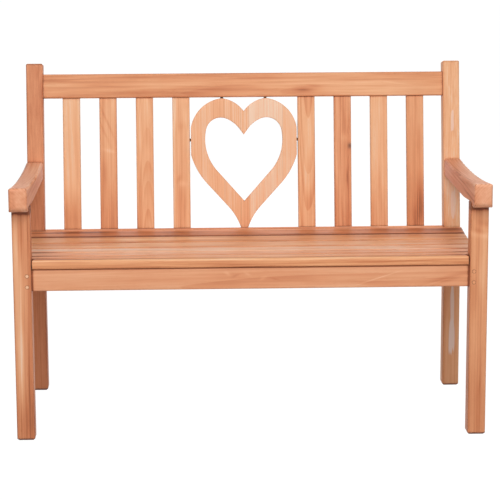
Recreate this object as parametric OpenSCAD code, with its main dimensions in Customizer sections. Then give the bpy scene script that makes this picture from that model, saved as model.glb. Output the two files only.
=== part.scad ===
// Two-seat garden bench of solid timber, with a heart-shaped splat in the back.
// Pinned mortise and tenon frame. The dished seat lies on two side rails and a centre bearer.
// Origin: middle of the footprint, at floor level. +X across the bench, +Y to the back, +Z up.
// Inside the modules y is measured from the front legs' front face, and the last step moves it.

/* [Overall] */
// width over the arms
bench_w = 1200; // [1150:10:1500]
// height to the top of the back posts
bench_h = 903; // [875:1:935]
// depth from the front legs' face to the back legs' face at the floor
leg_spread = 495.5; // [485:0.5:520]
// backward lean of the back, in degrees
rake = 9.1; // [7:0.1:11]

/* [Legs] */
// section of all four legs
leg_s = 45.5; // [44:0.5:52]
// how far an arm stands out beyond the leg below it
arm_proud = 3; // [1:0.5:5]
// easing of the long edges of legs and rails
edge_r = 3; // [2:0.5:4]
// chamfer round each foot
foot_ch = 5; // [3:0.5:7]
// chamfer round the top of a back post
top_ch = 3; // [2:0.5:5]

/* [Arms] */
// width of an arm
arm_w = 46; // [43:0.5:52]
// thickness of an arm along its sweep
arm_t = 47; // [42:1:50]
// height of the lowest point of an arm's top
arm_low_z = 633; // [620:1:650]
// depth of that lowest point behind the legs' face
arm_low_y = 382; // [360:1:400]
// radius of the long curve of an arm
arm_sweep_r = 4100; // [3700:50:4600]
// how far the nose stands in front of the leg
arm_nose = 40; // [34:1:46]
// how far an arm's flat pad runs on behind the leg
pad_behind = 5; // [3:0.5:8]
// how far the nose drops below the top of the leg
nose_drop = 6; // [3:1:9]
// rounding of the nose's lower front edge
nose_r = 15; // [10:1:18]
// rounding of the nose's upper front edge
nose_top_r = 8; // [5:0.5:10]
// easing of the arm's upper long edges and of the nose's upright edges
arm_edge_r = 6; // [4:0.5:8]
// tenon of a leg in its arm, square section
arm_tenon_s = 24; // [20:1:28]
// height of that tenon
arm_tenon_h = 30; // [24:1:34]
// tenon of an arm in its back post, width
arm_back_tenon_w = 18; // [14:1:22]
// tenon of an arm in its back post, height
arm_back_tenon_h = 26; // [22:1:30]
// tenon of an arm in its back post, length
arm_back_tenon_l = 26; // [20:1:30]

/* [Seat] */
// height of the lowest point of the dished seat
seat_z = 442; // [425:1:455]
// depth of that lowest point behind the legs' face
seat_low_y = 312; // [290:1:330]
// radius of the dish, front to back
dish_r = 2008; // [1900:10:2300]
// number of seat slats
seat_slats = 7; // [7]
// width of a seat slat
seat_slat_w = 62; // [58:0.5:63]
// thickness of a seat slat
seat_slat_t = 23; // [20:1:25]
// front face of the first slat behind the legs' face
seat_front_y = 4; // [3:0.5:6]
// space between the last slat and the back posts
seat_clear = 2; // [1.5:0.5:5]
// space between the first slat's ends and the legs
slat_end_gap = 2; // [0.5:0.5:3]
// how far the other slats' ends stand out beyond the legs
slat_over = 3; // [0:0.5:3]
// rounding of the first slat's upper front edge
slat_nose_r = 9; // [5:0.5:11]
// rounding of the upper edge at a slat's ends
slat_end_r = 4; // [2:0.5:6]

/* [Rails] */
// height of the front rail
front_rail_h = 56; // [50:1:62]
// thickness of the front rail
front_rail_t = 23; // [21:0.5:25]
// setback of the front rail from the legs' face
front_setback = 8; // [6:0.5:9]
// thickness of a side rail
side_rail_t = 24; // [20:1:26]
// setback of a side rail from the legs' outer face
side_setback = 7; // [5:0.5:8]
// thickness of the centre bearer
bearer_t = 28; // [24:1:34]
// height of the bearer's underside above the front rail's
bearer_lift = 3; // [1:0.5:6]
// height of the top rail and the lower back rail
back_rail_h = 65.5; // [61:0.5:70]
// thickness of the top rail and the lower back rail
back_rail_t = 30; // [28:1:34]
// setback of the two back rails from the posts' face
back_setback = 6; // [4:0.5:8]
// bend of the back legs below the lower back rail
bend_below = 8; // [6:0.5:12]
// length of post above the top rail
post_above = 29.3; // [24:0.1:34]
// how far the lower back rail stands above the seat's back edge
rail_show = 2; // [1:0.5:6]

/* [Back slats] */
// width of a back slat
back_slat_w = 47.5; // [44:0.5:52]
// thickness of a back slat and of the heart
back_slat_t = 18; // [16:1:20]
// slats on each side of the heart
slats_each_side = 4; // [4]
// tenon at each end of a back slat, width
slat_tenon_w = 40; // [34:1:42]
// tenon at each end of a back slat, thickness
slat_tenon_t = 10; // [8:1:12]
// tenon at each end of a back slat, length
slat_tenon_l = 14; // [10:1:18]

/* [Heart] */
// half width, where the sides are planed flat to fit between the slats
heart_half_w = 146.3; // [141:0.1:147]
// space between the heart's top and the top rail
heart_top_gap = 3.5; // [2:0.1:5]
// space between the heart's side and the slat beside it
heart_side_gap = 3; // [2:0.1:4]
// The arcs are drawn at full size, then scaled as a whole to the space between the rails.
// radius of the arc from the notch up to a lobe's top
notch_r = 87.2; // [86.6:0.1:87.8]
// centre of that arc, out from the middle
notch_out = 71; // [70.4:0.1:71.6]
// centre of that arc, up from the lower rail
notch_up = 271.3; // [270.7:0.1:271.9]
// radius of the shoulder's arc
shoulder_r = 97.5; // [96.9:0.1:98.1]
// centre of the shoulder's arc, out
shoulder_out = 50.1; // [49.5:0.1:50.7]
// centre of the shoulder's arc, up
shoulder_up = 260.8; // [260.2:0.1:261.4]
// radius of the flank's arc
flank_r = 193.9; // [193.3:0.1:194.5]
// centre of the flank's arc, out
flank_out = -40.8; // [-41.4:0.1:-40.2]
// centre of the flank's arc, up
flank_up = 253.3; // [252.7:0.1:253.9]
// slope of the straight lower flank off the vertical, in degrees
flank_slope = 42.3; // [41.5:0.1:43]
// radius of the hollow arc from the flank down to the tail
tail_r = 161.6; // [155:0.1:168]
// half width of the tail's foot
tail_half_w = 9.8; // [9:0.2:12]
// hole: radius of the side's arc
hole_side_r = 130.6; // [130:0.1:131.2]
// hole: centre of the side's arc, out
hole_side_out = -23.5; // [-24.1:0.1:-22.9]
// hole: centre of the side's arc, up
hole_side_up = 244.1; // [243.5:0.1:244.7]
// hole: radius of the lobe, which runs into the side arc
hole_lobe_r = 41.6; // [41:0.1:42.2]
// hole: direction from the side arc's centre to the lobe's centre, in degrees
hole_lobe_turn = 12.5; // [12:0.1:13]
// hole: radius of the arc from the notch up to the lobe
hole_arc_r = 85.7; // [85.1:0.1:86.3]
// hole: centre of that arc, out
hole_arc_out = 80.8; // [80.2:0.1:81.4]
// hole: centre of that arc, up
hole_arc_up = 222.9; // [222.3:0.1:223.5]
// hole: where that arc becomes a straight line down to the notch, out
hole_line_out = 14.5; // [14:0.1:15]
// hole: where it does, up
hole_line_up = 277.5; // [277:0.1:278]
// hole: where the lobe takes over from that arc, out
hole_cross_out = 47; // [46:0.5:48]
// hole: height of the notch
hole_notch_up = 257.6; // [255:0.1:260]
// hole: height of the lower tip
hole_tip_up = 73.9; // [71:0.1:76]
// height of the dowels from the heart to the slats beside it
side_dowel_up = 243.4; // [243.4]
// tenon of the tail in the lower rail, width
tail_tenon_w = 15; // [12:1:17]

/* [Joints] */
// thickness of the rails' tenons
tenon_t = 12; // [10:1:13]
// shoulder above and below a rail's tenon
tenon_shoulder = 8; // [6:1:10]
// length of the front rail's and the top rail's tenons
tenon_l = 28; // [24:1:30]
// length of the lower back rail's tenons, kept short to miss those of the side rails
lower_tenon_l = 16; // [14:1:18]
// length of a side rail's tenons
side_tenon_l = 16; // [13:0.5:17]
// height of a side rail's tenons
side_tenon_h = 26; // [22:1:28]
// shoulder below a side rail's tenon
side_tenon_lift = 6; // [4:0.5:8]
// length of the bearer's stub tenons
bearer_tenon_l = 12; // [10:1:15]
// height of the bearer's stub tenons
bearer_tenon_h = 20; // [16:1:22]
// width of the bearer's stub tenons
bearer_tenon_w = 14; // [12:1:20]
// shoulder below the bearer's tenons
bearer_tenon_lift = 5; // [4:0.5:8]
// play between a tenon and its mortise, each side
tenon_play = 0.15; // [0.1:0.05:0.3]
// play between a tenon's end and the bottom of its mortise
end_play = 1; // [0.5:0.5:2]
// gap left where two faces seat on each other
seat_gap = 0.1; // [0.05:0.05:0.2]
// diameter of pegs and dowels
peg_d = 8; // [6:0.5:9]
// how far a peg runs on past its tenon
peg_bite = 6; // [4:0.5:8]
// distance between the two pegs of a joint
peg_pitch = 28; // [22:1:30]
// distance of the front, top and lower rails' pegs from the shoulder of their tenon
peg_in = 10.5; // [9:0.5:12]
// how far the front rail's pegs sit below its middle
front_peg_drop = 2; // [0:0.5:3]
// play round a peg, on the radius
peg_play = 0.05; // [0.05:0.05:0.15]
// how far a peg's end stands out of the leg
peg_proud = 0.3; // [0.1:0.1:0.5]
// how far the heart's dowels go into each piece
dowel_in = 18; // [14:1:22]

/* [Seat screws] */
// diameter of the shank
screw_d = 4.5; // [4:0.5:5]
// diameter of the head
screw_head_d = 8; // [7:0.5:9]
// height of the head
screw_head_h = 3; // [2.5:0.5:4]
// how far a screw goes into its slat
screw_grip = 16; // [12:1:17]
// how far it runs through its rail above the head
screw_through = 20; // [14:1:22]
// play round a screw, on the radius
screw_play = 0.1; // [0.05:0.05:0.3]
// play round a screw's head in its counterbore, on the radius
screw_head_play = 0.3; // [0.2:0.05:0.5]
// inner screws that hold the first slat to the front rail, out from the middle
front_screw_in = 170; // [120:5:220]
// outer screws that do, out from the middle
front_screw_out = 450; // [400:5:480]
// how far the bearer's first screw stands behind the middle of its slat, to pass the front rail
first_screw_back = 12; // [10:0.5:15]

/* [Show] */
// sub-part to draw, or all

/* [Hidden] */
$fn = 48;
// facets of the long curves in a quick mesh
fine = 1440;
// overlap that lets a cut or a join run through a face
over = 1;
// reach of a cutting shape that only has to be big enough
far = 400;
// directions of the two halves of the bench
sides = [-1, 1];
leg_out = bench_w/2 - arm_proud;
leg_in = leg_out - leg_s;
leg_mid = (leg_out + leg_in)/2;
// seat
seat_arc_z = seat_z + dish_r;
front_angle = asin((seat_front_y + seat_slat_w/2 - seat_low_y)/(dish_r + seat_slat_t/2));
under_r = dish_r + seat_slat_t;
rail_arc_r = sqrt(under_r*under_r + seat_slat_w*seat_slat_w/4) + seat_gap;
back_z = seat_z + pow(leg_spread - seat_low_y, 2)/(2*dish_r) + rail_show;
lower_rail_low = bend_below;
bend_z = back_z + back_setback*sin(rake) - (back_rail_h + bend_below)*cos(rake);
seat_back_y = leg_spread + (seat_z - seat_slat_t - bend_z)*tan(rake) - seat_clear;
back_angle = asin((seat_back_y - seat_slat_w/2 - seat_low_y)/(dish_r + seat_slat_t/2));
slat_step = (back_angle - front_angle)/(seat_slats - 1);
// heart: centres of the arcs, [out, up]
notch_at = [notch_out, notch_up];
shoulder_at = [shoulder_out, shoulder_up];
// heart: a lobe's top, where the notch's arc crosses the shoulder's
lobe_d = norm(shoulder_at - notch_at);
lobe_way_in = (shoulder_at - notch_at)/lobe_d;
lobe_part = (pow(notch_r, 2) - pow(shoulder_r, 2) + pow(lobe_d, 2))/(2*lobe_d);
lobe_rise = sqrt(pow(notch_r, 2) - pow(lobe_part, 2));
lobe_top = notch_at + lobe_part*lobe_way_in + lobe_rise*[lobe_way_in[1], -lobe_way_in[0]];
// raked back, measured up the posts from the bend
post_l = (bench_h - bend_z + top_ch*sin(rake))/cos(rake);
lower_rail_top = lower_rail_low + back_rail_h;
top_rail_low = post_l - post_above - back_rail_h;
field_h = top_rail_low - lower_rail_top;
back_rail_mid = back_setback + back_rail_t/2;
heart_k = (field_h - heart_top_gap)/lobe_top[1];
heart_half = heart_half_w*heart_k;
back_slat_gap = (leg_in - heart_half - heart_side_gap - slats_each_side*back_slat_w)/slats_each_side;
back_slat_step = back_slat_w + back_slat_gap;
first_slat_x = heart_half + heart_side_gap + back_slat_w/2;
// front rail and side rails
front_top_z = seat_arc_z - (under_r + seat_gap)*cos(front_angle)
  + (front_setback - seat_low_y - (under_r + seat_gap)*sin(front_angle))*tan(front_angle);
rail_low_z = front_top_z - front_rail_h;
front_rail_mid_y = front_setback + front_rail_t/2;
side_rail_mid = leg_out - side_setback - side_rail_t/2;
side_tenon_z = rail_low_z + side_tenon_lift;
// inner ends of the pegs
front_peg_end = front_rail_mid_y + tenon_t/2 + peg_bite;
side_peg_end = side_rail_mid - tenon_t/2 - peg_bite;
back_peg_end = back_rail_mid - tenon_t/2 - peg_bite;
// arms
arm_arc_z = arm_low_z + arm_sweep_r;
arm_back_z = arm_low_z - arm_t/2;
pad_back_y = leg_s + pad_behind;
leg_top_z = arm_arc_z - sqrt(pow(arm_sweep_r + arm_t, 2) - pow(arm_low_y - pad_back_y, 2));
arm_mid = bench_w/2 - arm_w/2;
arm_post_y = leg_spread + (arm_back_z - bend_z)*tan(rake);
flank_at = [flank_out, flank_up];
hole_side_at = [hole_side_out, hole_side_up];
hole_arc_at = [hole_arc_out, hole_arc_up];
// heart: the straight flank leaves the flank's arc at flank_end and meets the tail's hollow arc at tail_top
outward = [cos(flank_slope), -sin(flank_slope)];
along = [sin(flank_slope), cos(flank_slope)];
flank_end = flank_at + flank_r*outward;
tail_from = flank_end + tail_r*outward - [tail_half_w, 0];
tail_run = tail_from*along - sqrt(pow(tail_from*along, 2) - tail_from*tail_from + tail_r*tail_r);
tail_top = flank_end - tail_run*along;
tail_at = tail_top + tail_r*outward;
lobe_x = lobe_top[0]*heart_k;
hole_end = hole_side_at + hole_side_r*outward;
lobe_way = [cos(hole_lobe_turn), sin(hole_lobe_turn)];
hole_meet = hole_side_at + hole_side_r*lobe_way;
hole_lobe_at = hole_meet - hole_lobe_r*lobe_way;
// centre bearer
bearer_low_z = rail_low_z + bearer_lift;
bearer_tenon_z = bearer_low_z + bearer_tenon_lift;
// screws in the bearer and the side rails: [slat, out from the middle, behind the slat's middle]
bearer_screws = [for (i = [1:seat_slats]) [i, 0, i == 1 ? first_screw_back : 0]];
side_screws = [for (i = [2:seat_slats], s = sides) [i, s*side_rail_mid, 0]];
// whole
back_y = leg_spread + (post_l - top_ch)*sin(rake) + leg_s*cos(rake);
shift_y = (arm_nose - back_y)/2;
timber = "#cf9560";
dark_timber = "#7a4a2a";
metal = "#c9a64f";

// Moves y from the legs' face to the middle of the footprint.
module placed() {
  translate([0, shift_y, 0]) children();
}

// The left half is the right half seen in a mirror.
module on_side(side) {
  if (side > 0) {
    children();
  } else {
    mirror([1, 0, 0]) children();
  }
}

// Frame of the raked back: x across, y into the back from the posts' face, z up the posts.
module in_back() {
  translate([0, leg_spread, bend_z]) rotate([-rake, 0, 0]) children();
}

// Side view [y, z] drawn flat and made w thick about x = 0.
module from_side(w) {
  rotate([90, 0, 90]) linear_extrude(w, center = true) children();
}

// Rectangle with rounded corners, centred.
module eased_rectangle(w, h, r) {
  square([w - 2*r, h], center = true);
  square([w, h - 2*r], center = true);
  for (i = sides, j = sides) {
    translate([i*(w/2 - r), j*(h/2 - r)]) circle(r);
  }
}

// Bar along x with eased long edges, centred.
module eased_bar(l, w, h, r) {
  from_side(l) eased_rectangle(w, h, r);
}

// What is left of a corner at the origin when it is rounded into +x and +y.
module corner_waste(r) {
  difference() {
    translate([-over, -over]) square(r + over);
    translate([r, r]) circle(r);
  }
}

// Rectangle w wide and h high standing on z = 0, with its lower corners cut at 45 degrees.
module chamfered_stand(w, h, ch) {
  polygon([
    [-w/2 + ch, 0], [w/2 - ch, 0], [w/2 + over, ch + over],
    [w/2 + over, h], [-w/2 - over, h], [-w/2 - over, ch + over]
  ]);
}

// Straight square post with eased edges and a chamfered lower end, centred on its axis.
module footed_post(s, h, ch) {
  intersection() {
    linear_extrude(h) eased_rectangle(s, s, edge_r);
    from_side(s + 2*over) chamfered_stand(s, h + over, ch);
    rotate([0, 0, 90]) from_side(s + 2*over) chamfered_stand(s, h + over, ch);
  }
}

// Round bore or peg along +z.
module rod(d, l) {
  cylinder(d = d, h = l);
}

// Seat slats' frame: the origin is on the dish, below the slat's top, tilted with the slat.
module at_slat(i) {
  translate([0, seat_low_y, seat_arc_z])
    rotate([front_angle + slat_step*(i - 1), 0, 0])
      translate([0, 0, -dish_r]) children();
}

// The hollow that the dish cuts in the tops of side rails and bearer, as a side view.
module dish_hollow() {
  translate([seat_low_y, seat_arc_z]) circle(rail_arc_r, $fn = fine);
}

// Peg holes of the front rail at the right end, opened by play.
module front_rail_peg_set(play, extra) {
  for (j = sides) {
    peg_z = rail_low_z + front_rail_h/2 - front_peg_drop + j*peg_pitch/2;
    translate([leg_in + peg_in, front_peg_end, peg_z])
      rotate([90, 0, 0]) rod(peg_d + 2*play, front_peg_end + peg_proud + extra);
  }
}

// Pegs of one side rail, driven from the leg's outer face into both legs.
module side_rail_peg_set(play, extra) {
  for (y = [leg_s - side_tenon_l/2, leg_spread + side_tenon_l/2]) {
    translate([side_peg_end, y, side_tenon_z + side_tenon_h/2])
      rotate([0, 90, 0]) rod(peg_d + 2*play, leg_out + peg_proud - side_peg_end + extra);
  }
}

// Pegs of a back rail's right end, driven from the post's rear face.
module back_rail_peg_set(rail_low, play, extra) {
  for (j = sides) {
    translate([leg_in + peg_in, back_peg_end, rail_low + back_rail_h/2 + j*peg_pitch/2])
      rotate([-90, 0, 0]) rod(peg_d + 2*play, leg_s + peg_proud - back_peg_end + extra);
  }
}

// Screws, or their bores, of one seat slat in the slat's own frame.
module slat_screw_shank(play) {
  translate([0, 0, -seat_slat_t - screw_through])
    rod(screw_d + 2*play, screw_through + screw_grip);
}

module slat_screw_head(play, l) {
  translate([0, 0, -seat_slat_t - screw_through - l]) rod(screw_head_d + 2*play, l);
}

module at_screws(list) {
  for (p = list) {
    at_slat(p[0]) translate([p[1], p[2], 0]) children();
  }
}

// The front rail's screws stand upright in the middle of the rail.
module at_front_screws() {
  slat_low_z = front_top_z + (front_rail_mid_y - front_setback)*tan(front_angle);
  for (x = [front_screw_in, front_screw_out], s = sides) {
    translate([s*x, front_rail_mid_y, slat_low_z + seat_slat_t]) children();
  }
}

// Bores for the screws in a rail or bearer: the shank's and, below it, the wide one for the head.
module screw_bore() {
  slat_screw_shank(screw_play);
  slat_screw_head(screw_head_play, front_rail_h);
}

// Legs

module front_leg() {
  difference() {
    union() {
      translate([leg_mid, leg_s/2, 0]) footed_post(leg_s, leg_top_z, foot_ch);
      translate([leg_mid - arm_tenon_s/2, (leg_s - arm_tenon_s)/2, leg_top_z - over])
        cube([arm_tenon_s, arm_tenon_s, arm_tenon_h + over]);
    }
    front_rail_tenon(tenon_play, end_play);
    side_rail_tenon(leg_s, -1, tenon_play, end_play);
    front_rail_peg_set(peg_play, over);
    side_rail_peg_set(peg_play, over);
  }
}

// The dog-leg of a back leg: an upright length and a raked length, mitred at the bend.
module back_leg_stock() {
  past = 2*over;
  front_rise = past*tan(rake/2);
  back_rise = (leg_s + past)*tan(rake/2);
  intersection() {
    translate([leg_mid, leg_spread + leg_s/2, 0]) footed_post(leg_s, bend_z + leg_s, foot_ch);
    translate([leg_mid, leg_spread, 0]) from_side(leg_s + 2*past) polygon([
      [-past, -over], [leg_s + past, -over], [leg_s + past, bend_z - back_rise], [-past, bend_z + front_rise]
    ]);
  }
  in_back() intersection() {
    translate([leg_mid, leg_s/2, post_l]) mirror([0, 0, 1]) footed_post(leg_s, post_l + leg_s, top_ch);
    translate([leg_mid, 0, 0]) from_side(leg_s + 2*past) polygon([
      [-past, -front_rise], [leg_s + past, back_rise], [leg_s + past, post_l + over], [-past, post_l + over]
    ]);
  }
}

module back_leg() {
  difference() {
    back_leg_stock();
    side_rail_tenon(leg_spread, 1, tenon_play, end_play);
    side_rail_peg_set(peg_play, over);
    arm_back_tenon(tenon_play, end_play);
    in_back() {
      back_rail_tenon(lower_rail_low, lower_tenon_l, tenon_play, end_play);
      back_rail_tenon(top_rail_low, tenon_l, tenon_play, end_play);
      back_rail_peg_set(lower_rail_low, peg_play, over);
      back_rail_peg_set(top_rail_low, peg_play, over);
    }
  }
}

// Arms

// Side view of an arm: a long curve above and below, a nose in front and a flat pad on the leg.
module arm_outline() {
  pad_z = leg_top_z + seat_gap;
  nose_z = leg_top_z - nose_drop;
  top_corner_y = nose_top_r - arm_nose;
  top_corner_z = arm_arc_z - sqrt(pow(arm_sweep_r + nose_top_r, 2) - pow(arm_low_y - top_corner_y, 2));
  difference() {
    intersection() {
      union() {
        translate([arm_low_y, arm_arc_z]) circle(arm_sweep_r + arm_t, $fn = fine*2);
        translate([-arm_nose - over, pad_z]) square([arm_nose + over + pad_back_y, arm_t]);
        translate([-arm_nose - over, nose_z]) square([arm_nose + over - seat_gap, arm_t]);
      }
      translate([-arm_nose, nose_z - over]) square([leg_spread + far, far]);
    }
    translate([arm_low_y, arm_arc_z]) circle(arm_sweep_r, $fn = fine*2);
    translate([-arm_nose, nose_z]) corner_waste(nose_r);
    difference() {
      translate([-arm_nose - over, top_corner_z]) square([nose_top_r + over, arm_t]);
      translate([top_corner_y, top_corner_z]) circle(nose_top_r);
    }
  }
}

// Half space behind the front plane of the raked posts, as a side view.
module behind_posts(gap) {
  translate([leg_spread, bend_z]) rotate(-rake) translate([-gap, 0]) square([far, post_l]);
}

// The tenon starts well inside the arm, because the post's face leans.
module arm_back_tenon(play, end) {
  start = arm_back_tenon_h*tan(rake);
  translate([arm_mid, arm_post_y - start, arm_back_z])
    translate([-arm_back_tenon_w/2 - play, 0, -arm_back_tenon_h/2 - play])
      cube([arm_back_tenon_w + 2*play, arm_back_tenon_l + start + end, arm_back_tenon_h + 2*play]);
}

// What the easing takes off an arm: the two upper long edges, along the sweep, and the nose's upright edges.
module arm_edge_waste() {
  before = asin((arm_low_y + 2*arm_nose)/arm_sweep_r);
  after = asin((leg_spread + 2*leg_s - arm_low_y)/arm_sweep_r);
  translate([arm_mid, arm_low_y, arm_arc_z]) rotate([0, 90, 0]) rotate([0, 0, -before])
    rotate_extrude(angle = before + after, $fn = fine)
      for (s = sides) {
        translate([arm_sweep_r, s*arm_w/2]) mirror([0, s > 0 ? 1 : 0]) corner_waste(arm_edge_r);
      }
  for (s = sides) {
    translate([arm_mid + s*arm_w/2, -arm_nose, leg_top_z - arm_t])
      mirror([s > 0 ? 1 : 0, 0, 0]) linear_extrude(far) corner_waste(arm_edge_r);
  }
}

module arm() {
  difference() {
    union() {
      translate([arm_mid, 0, 0]) from_side(arm_w) difference() {
        arm_outline();
        behind_posts(seat_gap);
      }
      arm_back_tenon(0, 0);
    }
    arm_edge_waste();
    translate([leg_mid, leg_s/2, leg_top_z - over])
      translate([-arm_tenon_s/2 - tenon_play, -arm_tenon_s/2 - tenon_play, 0])
        cube([arm_tenon_s + 2*tenon_play, arm_tenon_s + 2*tenon_play, arm_tenon_h + over + end_play]);
  }
}

// Front rail

module front_rail_tenon(play, end) {
  translate([leg_in - over, front_rail_mid_y - tenon_t/2 - play, rail_low_z + tenon_shoulder - play])
    cube([tenon_l + over + end, tenon_t + 2*play, front_rail_h - 2*tenon_shoulder + 2*play]);
}

// Side view of the space above the sloping plane that carries the first slat.
module above_first_slat() {
  translate([front_setback, front_top_z]) rotate(front_angle) translate([-far/2, 0]) square(far);
}

// The rail's top is bevelled to the first slat's underside.
module front_rail_body() {
  from_side(2*leg_in - 2*seat_gap) difference() {
    translate([front_rail_mid_y, rail_low_z + front_rail_h/2 + edge_r])
      eased_rectangle(front_rail_t, front_rail_h + 2*edge_r, edge_r);
    above_first_slat();
  }
}

module front_rail() color(timber) placed() {
  difference() {
    union() {
      front_rail_body();
      for (s = sides) on_side(s) front_rail_tenon(0, 0);
    }
    for (s = sides) on_side(s) front_rail_peg_set(peg_play, over);
    bearer_front_tenon(tenon_play, end_play);
    at_front_screws() screw_bore();
  }
}

// Side rails and centre bearer

module side_rail_tenon(face_y, way, play, end) {
  from_y = way > 0 ? face_y - over : face_y - side_tenon_l - end;
  translate([side_rail_mid - tenon_t/2 - play, from_y, side_tenon_z - play])
    cube([tenon_t + 2*play, side_tenon_l + over + end, side_tenon_h + 2*play]);
}

module side_rail() {
  difference() {
    union() {
      translate([side_rail_mid, 0, 0]) from_side(side_rail_t) difference() {
        translate([leg_s + seat_gap, rail_low_z]) square([leg_spread - leg_s - 2*seat_gap, front_rail_h]);
        dish_hollow();
      }
      side_rail_tenon(leg_s, -1, 0, 0);
      side_rail_tenon(leg_spread, 1, 0, 0);
    }
    side_rail_peg_set(peg_play, over);
    at_screws([for (p = side_screws) if (p[1] > 0) p]) screw_bore();
  }
}

function back_face_y(z) = leg_spread + (z - bend_z)*tan(rake) + back_setback/cos(rake);

module bearer_front_tenon(play, end) {
  back = front_setback + front_rail_t;
  translate([-bearer_tenon_w/2 - play, back - bearer_tenon_l - end, bearer_tenon_z - play])
    cube([bearer_tenon_w + 2*play, bearer_tenon_l + over + end, bearer_tenon_h + 2*play]);
}

module bearer_back_tenon(play, end) {
  front = back_face_y(bearer_tenon_z);
  translate([-bearer_tenon_w/2 - play, front - over, bearer_tenon_z - play])
    cube([bearer_tenon_w + 2*play, bearer_tenon_l + over + end, bearer_tenon_h + 2*play]);
}

module centre_bearer() color(timber) placed() {
  front = front_setback + front_rail_t + seat_gap;
  high_z = rail_low_z + 2*front_rail_h;
  difference() {
    union() {
      from_side(bearer_t) difference() {
        polygon([
          [front, bearer_low_z], [back_face_y(bearer_low_z) - seat_gap, bearer_low_z],
          [back_face_y(high_z) - seat_gap, high_z], [front, high_z]
        ]);
        dish_hollow();
        intersection() {
          above_first_slat();
          square([front + seat_slat_w, far*2]);
        }
      }
      bearer_front_tenon(0, 0);
      bearer_back_tenon(0, 0);
    }
    at_screws(bearer_screws) screw_bore();
  }
}

// Raked back

module back_rail_tenon(rail_low, l, play, end) {
  translate([leg_in - over, back_rail_mid - tenon_t/2 - play, rail_low + tenon_shoulder - play])
    cube([l + over + end, tenon_t + 2*play, back_rail_h - 2*tenon_shoulder + 2*play]);
}

// A rail of the back with its tenons, before the slats' mortises.
module back_rail_blank(rail_low, l) {
  difference() {
    union() {
      translate([0, back_rail_mid, rail_low + back_rail_h/2])
        eased_bar(2*leg_in - 2*seat_gap, back_rail_t, back_rail_h, edge_r);
      for (s = sides) on_side(s) back_rail_tenon(rail_low, l, 0, 0);
    }
    for (s = sides) on_side(s) back_rail_peg_set(rail_low, peg_play, over);
  }
}

function slat_x(i) = i <= slats_each_side
  ? -first_slat_x - back_slat_step*(slats_each_side - i)
  : first_slat_x + back_slat_step*(i - slats_each_side - 1);

// Tenons of one upright slat, at both of its ends.
module slat_tenons(i, play, end) {
  low = slat_tenon_l + end;
  translate([slat_x(i) - slat_tenon_w/2 - play, back_rail_mid - slat_tenon_t/2 - play, lower_rail_top - low])
    cube([slat_tenon_w + 2*play, slat_tenon_t + 2*play, field_h + 2*low]);
}

module all_slat_mortises() {
  for (i = [1:2*slats_each_side]) slat_tenons(i, tenon_play, end_play);
}

module heart_tail_tenon(play, end) {
  low = slat_tenon_l + end;
  translate([-tail_tenon_w/2 - play, back_rail_mid - slat_tenon_t/2 - play, lower_rail_top - low])
    cube([tail_tenon_w + 2*play, slat_tenon_t + 2*play, low + over]);
}

// Dowels from the heart's lobes up into the top rail.
module heart_top_dowel_set(play, extra) {
  for (s = sides) {
    translate([s*lobe_x, back_rail_mid, top_rail_low - heart_top_gap - dowel_in - extra])
      rod(peg_d + 2*play, 2*dowel_in + heart_top_gap + 2*extra);
  }
}

// Dowels from the heart's flat sides into the slats beside it.
module heart_side_dowel_set(play, extra) {
  for (s = sides) on_side(s)
    translate([heart_half - dowel_in - extra, back_rail_mid, lower_rail_top + side_dowel_up*heart_k])
      rotate([0, 90, 0]) rod(peg_d + 2*play, 2*dowel_in + heart_side_gap + 2*extra);
}

module back_slat(i) color(timber) placed() in_back() {
  difference() {
    union() {
      translate([slat_x(i), back_rail_mid, lower_rail_top + field_h/2])
        rotate([0, 90, 0]) eased_bar(field_h - 2*seat_gap, back_slat_t, back_slat_w, edge_r);
      slat_tenons(i, 0, 0);
    }
    if (i == slats_each_side || i == slats_each_side + 1) heart_side_dowel_set(peg_play, end_play);
  }
}

// Heart. The right half is drawn from arcs, each binding only in its own stretch, and mirrored.

// Space above a height, a little past the middle line.
module above(up) {
  translate([-over, up]) square([far, far]);
}

module below(up) {
  translate([-over, up - far]) square([far, far]);
}

module heart_outline_half() {
  difference() {
    union() {
      // notch, lobe and shoulder
      intersection() {
        translate(notch_at) circle(notch_r, $fn = 180);
        translate(shoulder_at) circle(shoulder_r, $fn = 180);
        above(flank_up);
      }
      // flank
      intersection() {
        translate(flank_at) circle(flank_r, $fn = 360);
        above(flank_end[1]);
        below(flank_up + over);
      }
      // straight lower flank
      polygon([
        [-over, tail_top[1]], tail_top, flank_end, flank_end + over*[-1, 1], [-over, flank_end[1] + over]
      ]);
      // tail
      translate([-over, 0]) square([tail_top[0] + over, tail_top[1] + over/2]);
    }
    translate(tail_at) circle(tail_r, $fn = 360);
    // flat planed side
    translate([heart_half_w, 0]) square(far);
  }
}

module hole_outline_half() {
  difference() {
    // lower tip, straight flank, and the straight line at the notch
    polygon([
      [0, hole_tip_up], hole_end, [far, hole_end[1]], [far, far], [hole_line_out, far],
      [hole_line_out, hole_line_up], [0, hole_notch_up]
    ]);
    // side arc above the straight flank
    difference() {
      above(hole_end[1]);
      translate(hole_side_at) circle(hole_side_r, $fn = 360);
    }
    // lobe, from where the two arcs cross out to where it runs into the side arc
    difference() {
      translate([hole_cross_out, hole_meet[1]]) square(far);
      translate(hole_lobe_at) circle(hole_lobe_r, $fn = 180);
    }
    // arc from the straight line up to the lobe
    difference() {
      translate([-over, hole_line_up]) square([hole_cross_out + over, far]);
      translate(hole_arc_at) circle(hole_arc_r, $fn = 180);
    }
  }
}

module heart_plate() {
  scale(heart_k) difference() {
    union() {
      heart_outline_half();
      mirror([1, 0]) heart_outline_half();
    }
    hole_outline_half();
    mirror([1, 0]) hole_outline_half();
  }
}

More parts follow.
